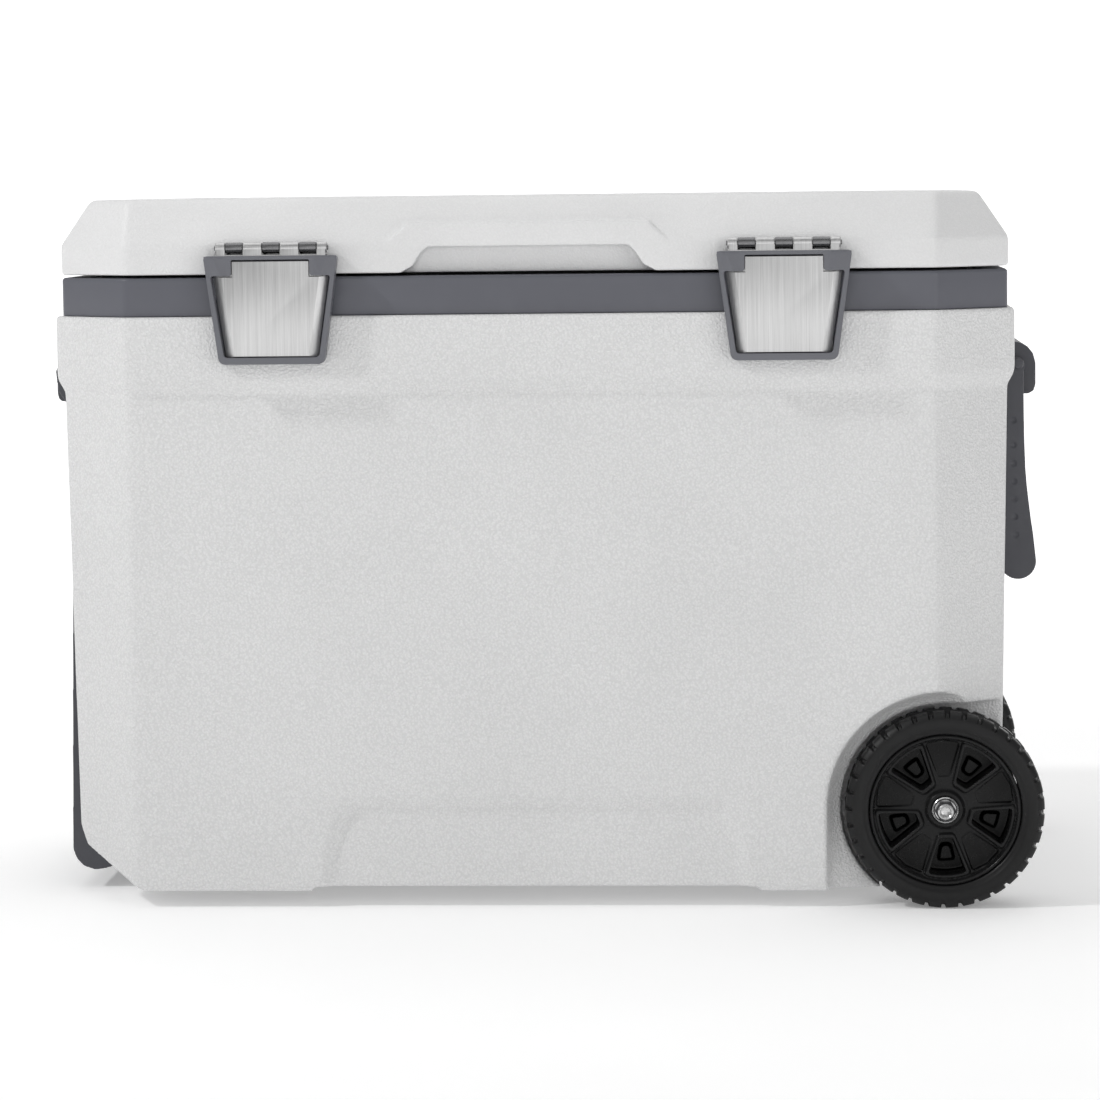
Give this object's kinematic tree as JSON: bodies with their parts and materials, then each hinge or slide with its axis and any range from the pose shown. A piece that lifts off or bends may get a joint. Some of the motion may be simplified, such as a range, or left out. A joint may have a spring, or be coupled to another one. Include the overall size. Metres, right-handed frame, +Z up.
{
  "type": "wheeled cooler box",
  "caption": "Insulated hard cooler with a hinged latching lid, corner wheels at one end, a swing-up lifting handle and a long tow handle.",
  "frame": {"origin": "on the ground under the middle of the overall footprint", "axes": "+X along the length towards the wheels, -Y to the front with the latches, +Z up"},
  "size_m": [0.7774, 0.4572, 0.5498],
  "materials": {
    "white_shell": "fine leather-like moulded grain",
    "white_liner": "smooth satin",
    "foam": "foamed, matt",
    "band_grey": "smooth satin",
    "bezel_grey": "satin",
    "handle_grey": "fine matt grain",
    "brushed_steel": "brushed along the height",
    "bright_steel": "bright",
    "tyre_black": "moulded tread",
    "rim_black": "satin moulded",
    "rubber_black": "matt"
  },
  "bodies": {
    "cabinet": {"body_shell": "white_shell", "body_foam": "foam", "body_liner": "white_liner", "collar_band": "band_grey", "keeper_left": "bezel_grey", "keeper_left_screw_a": "bright_steel", "keeper_left_screw_b": "bright_steel", "keeper_right": "bezel_grey", "keeper_right_screw_a": "bright_steel", "keeper_right_screw_b": "bright_steel", "hinge_left_body_leaf": "handle_grey", "hinge_left_pin": "bright_steel", "hinge_right_body_leaf": "handle_grey", "hinge_right_pin": "bright_steel", "axle": "bright_steel", "wheel_front_washer": "bright_steel", "wheel_front_nut": "bright_steel", "wheel_rear_washer": "bright_steel", "wheel_rear_nut": "bright_steel", "carry_handle_bracket": "handle_grey", "carry_handle_pin_a": "bright_steel", "carry_handle_screw_a": "bright_steel", "carry_handle_pin_b": "bright_steel", "carry_handle_screw_b": "bright_steel", "tow_handle_bracket": "handle_grey", "tow_handle_pin_a": "bright_steel", "tow_handle_screw_a": "bright_steel", "tow_handle_pin_b": "bright_steel", "tow_handle_screw_b": "bright_steel", "drain_housing": "handle_grey", "foot_front": "rubber_black", "foot_rear": "rubber_black"},
    "lid": {"lid_shell": "white_shell", "lid_foam": "foam", "lid_liner": "white_liner", "lid_gasket": "rubber_black", "latch_left_leaf": "bright_steel", "latch_left_pin": "bright_steel", "latch_right_leaf": "bright_steel", "latch_right_pin": "bright_steel", "hinge_left_lid_leaf": "handle_grey", "hinge_right_lid_leaf": "handle_grey"},
    "latch_left": {"latch_left_plate": "brushed_steel", "latch_left_bezel": "bezel_grey"},
    "latch_right": {"latch_right_plate": "brushed_steel", "latch_right_bezel": "bezel_grey"},
    "wheel_front": {"wheel_front_tyre": "tyre_black", "wheel_front_rim": "rim_black", "wheel_front_bushing": "rim_black"},
    "wheel_rear": {"wheel_rear_tyre": "tyre_black", "wheel_rear_rim": "rim_black", "wheel_rear_bushing": "rim_black"},
    "carry_handle": {"carry_handle": "handle_grey"},
    "tow_handle": {"tow_handle": "handle_grey"},
    "drain_plug": {"drain_plug": "handle_grey", "drain_seal": "rubber_black"}
  },
  "joints": [
    {"name": "lid_hinge", "type": "hinge", "parent": "cabinet", "child": "lid", "pos_m": [-0.0037, 0.224, 0.491], "axis": [-1, 0, 0], "range_deg": [0, 100]},
    {"name": "latch_left_swing", "type": "hinge", "parent": "lid", "child": "latch_left", "pos_m": [-0.1987, -0.2174, 0.5123], "axis": [-1, 0, 0], "range_deg": [0, 120]},
    {"name": "latch_right_swing", "type": "hinge", "parent": "lid", "child": "latch_right", "pos_m": [0.1913, -0.2174, 0.5123], "axis": [-1, 0, 0], "range_deg": [0, 120]},
    {"name": "wheel_front_spin", "type": "hinge", "parent": "cabinet", "child": "wheel_front", "pos_m": [0.3125, -0.188, 0.0762], "axis": [0, 1, 0], "continuous": true},
    {"name": "wheel_rear_spin", "type": "hinge", "parent": "cabinet", "child": "wheel_rear", "pos_m": [0.3125, 0.188, 0.0762], "axis": [0, 1, 0], "continuous": true},
    {"name": "carry_handle_swing", "type": "hinge", "parent": "cabinet", "child": "carry_handle", "pos_m": [0.3737, 0, 0.414], "axis": [0, -1, 0], "range_deg": [0, 95]},
    {"name": "tow_handle_swing", "type": "hinge", "parent": "cabinet", "child": "tow_handle", "pos_m": [-0.3811, 0, 0.414], "axis": [0, 1, 0], "range_deg": [0, 100]},
    {"name": "drain_plug_pull", "type": "slide", "parent": "cabinet", "child": "drain_plug", "axis": [-1, 0, 0], "range_m": [0, 0.03]}
  ]
}
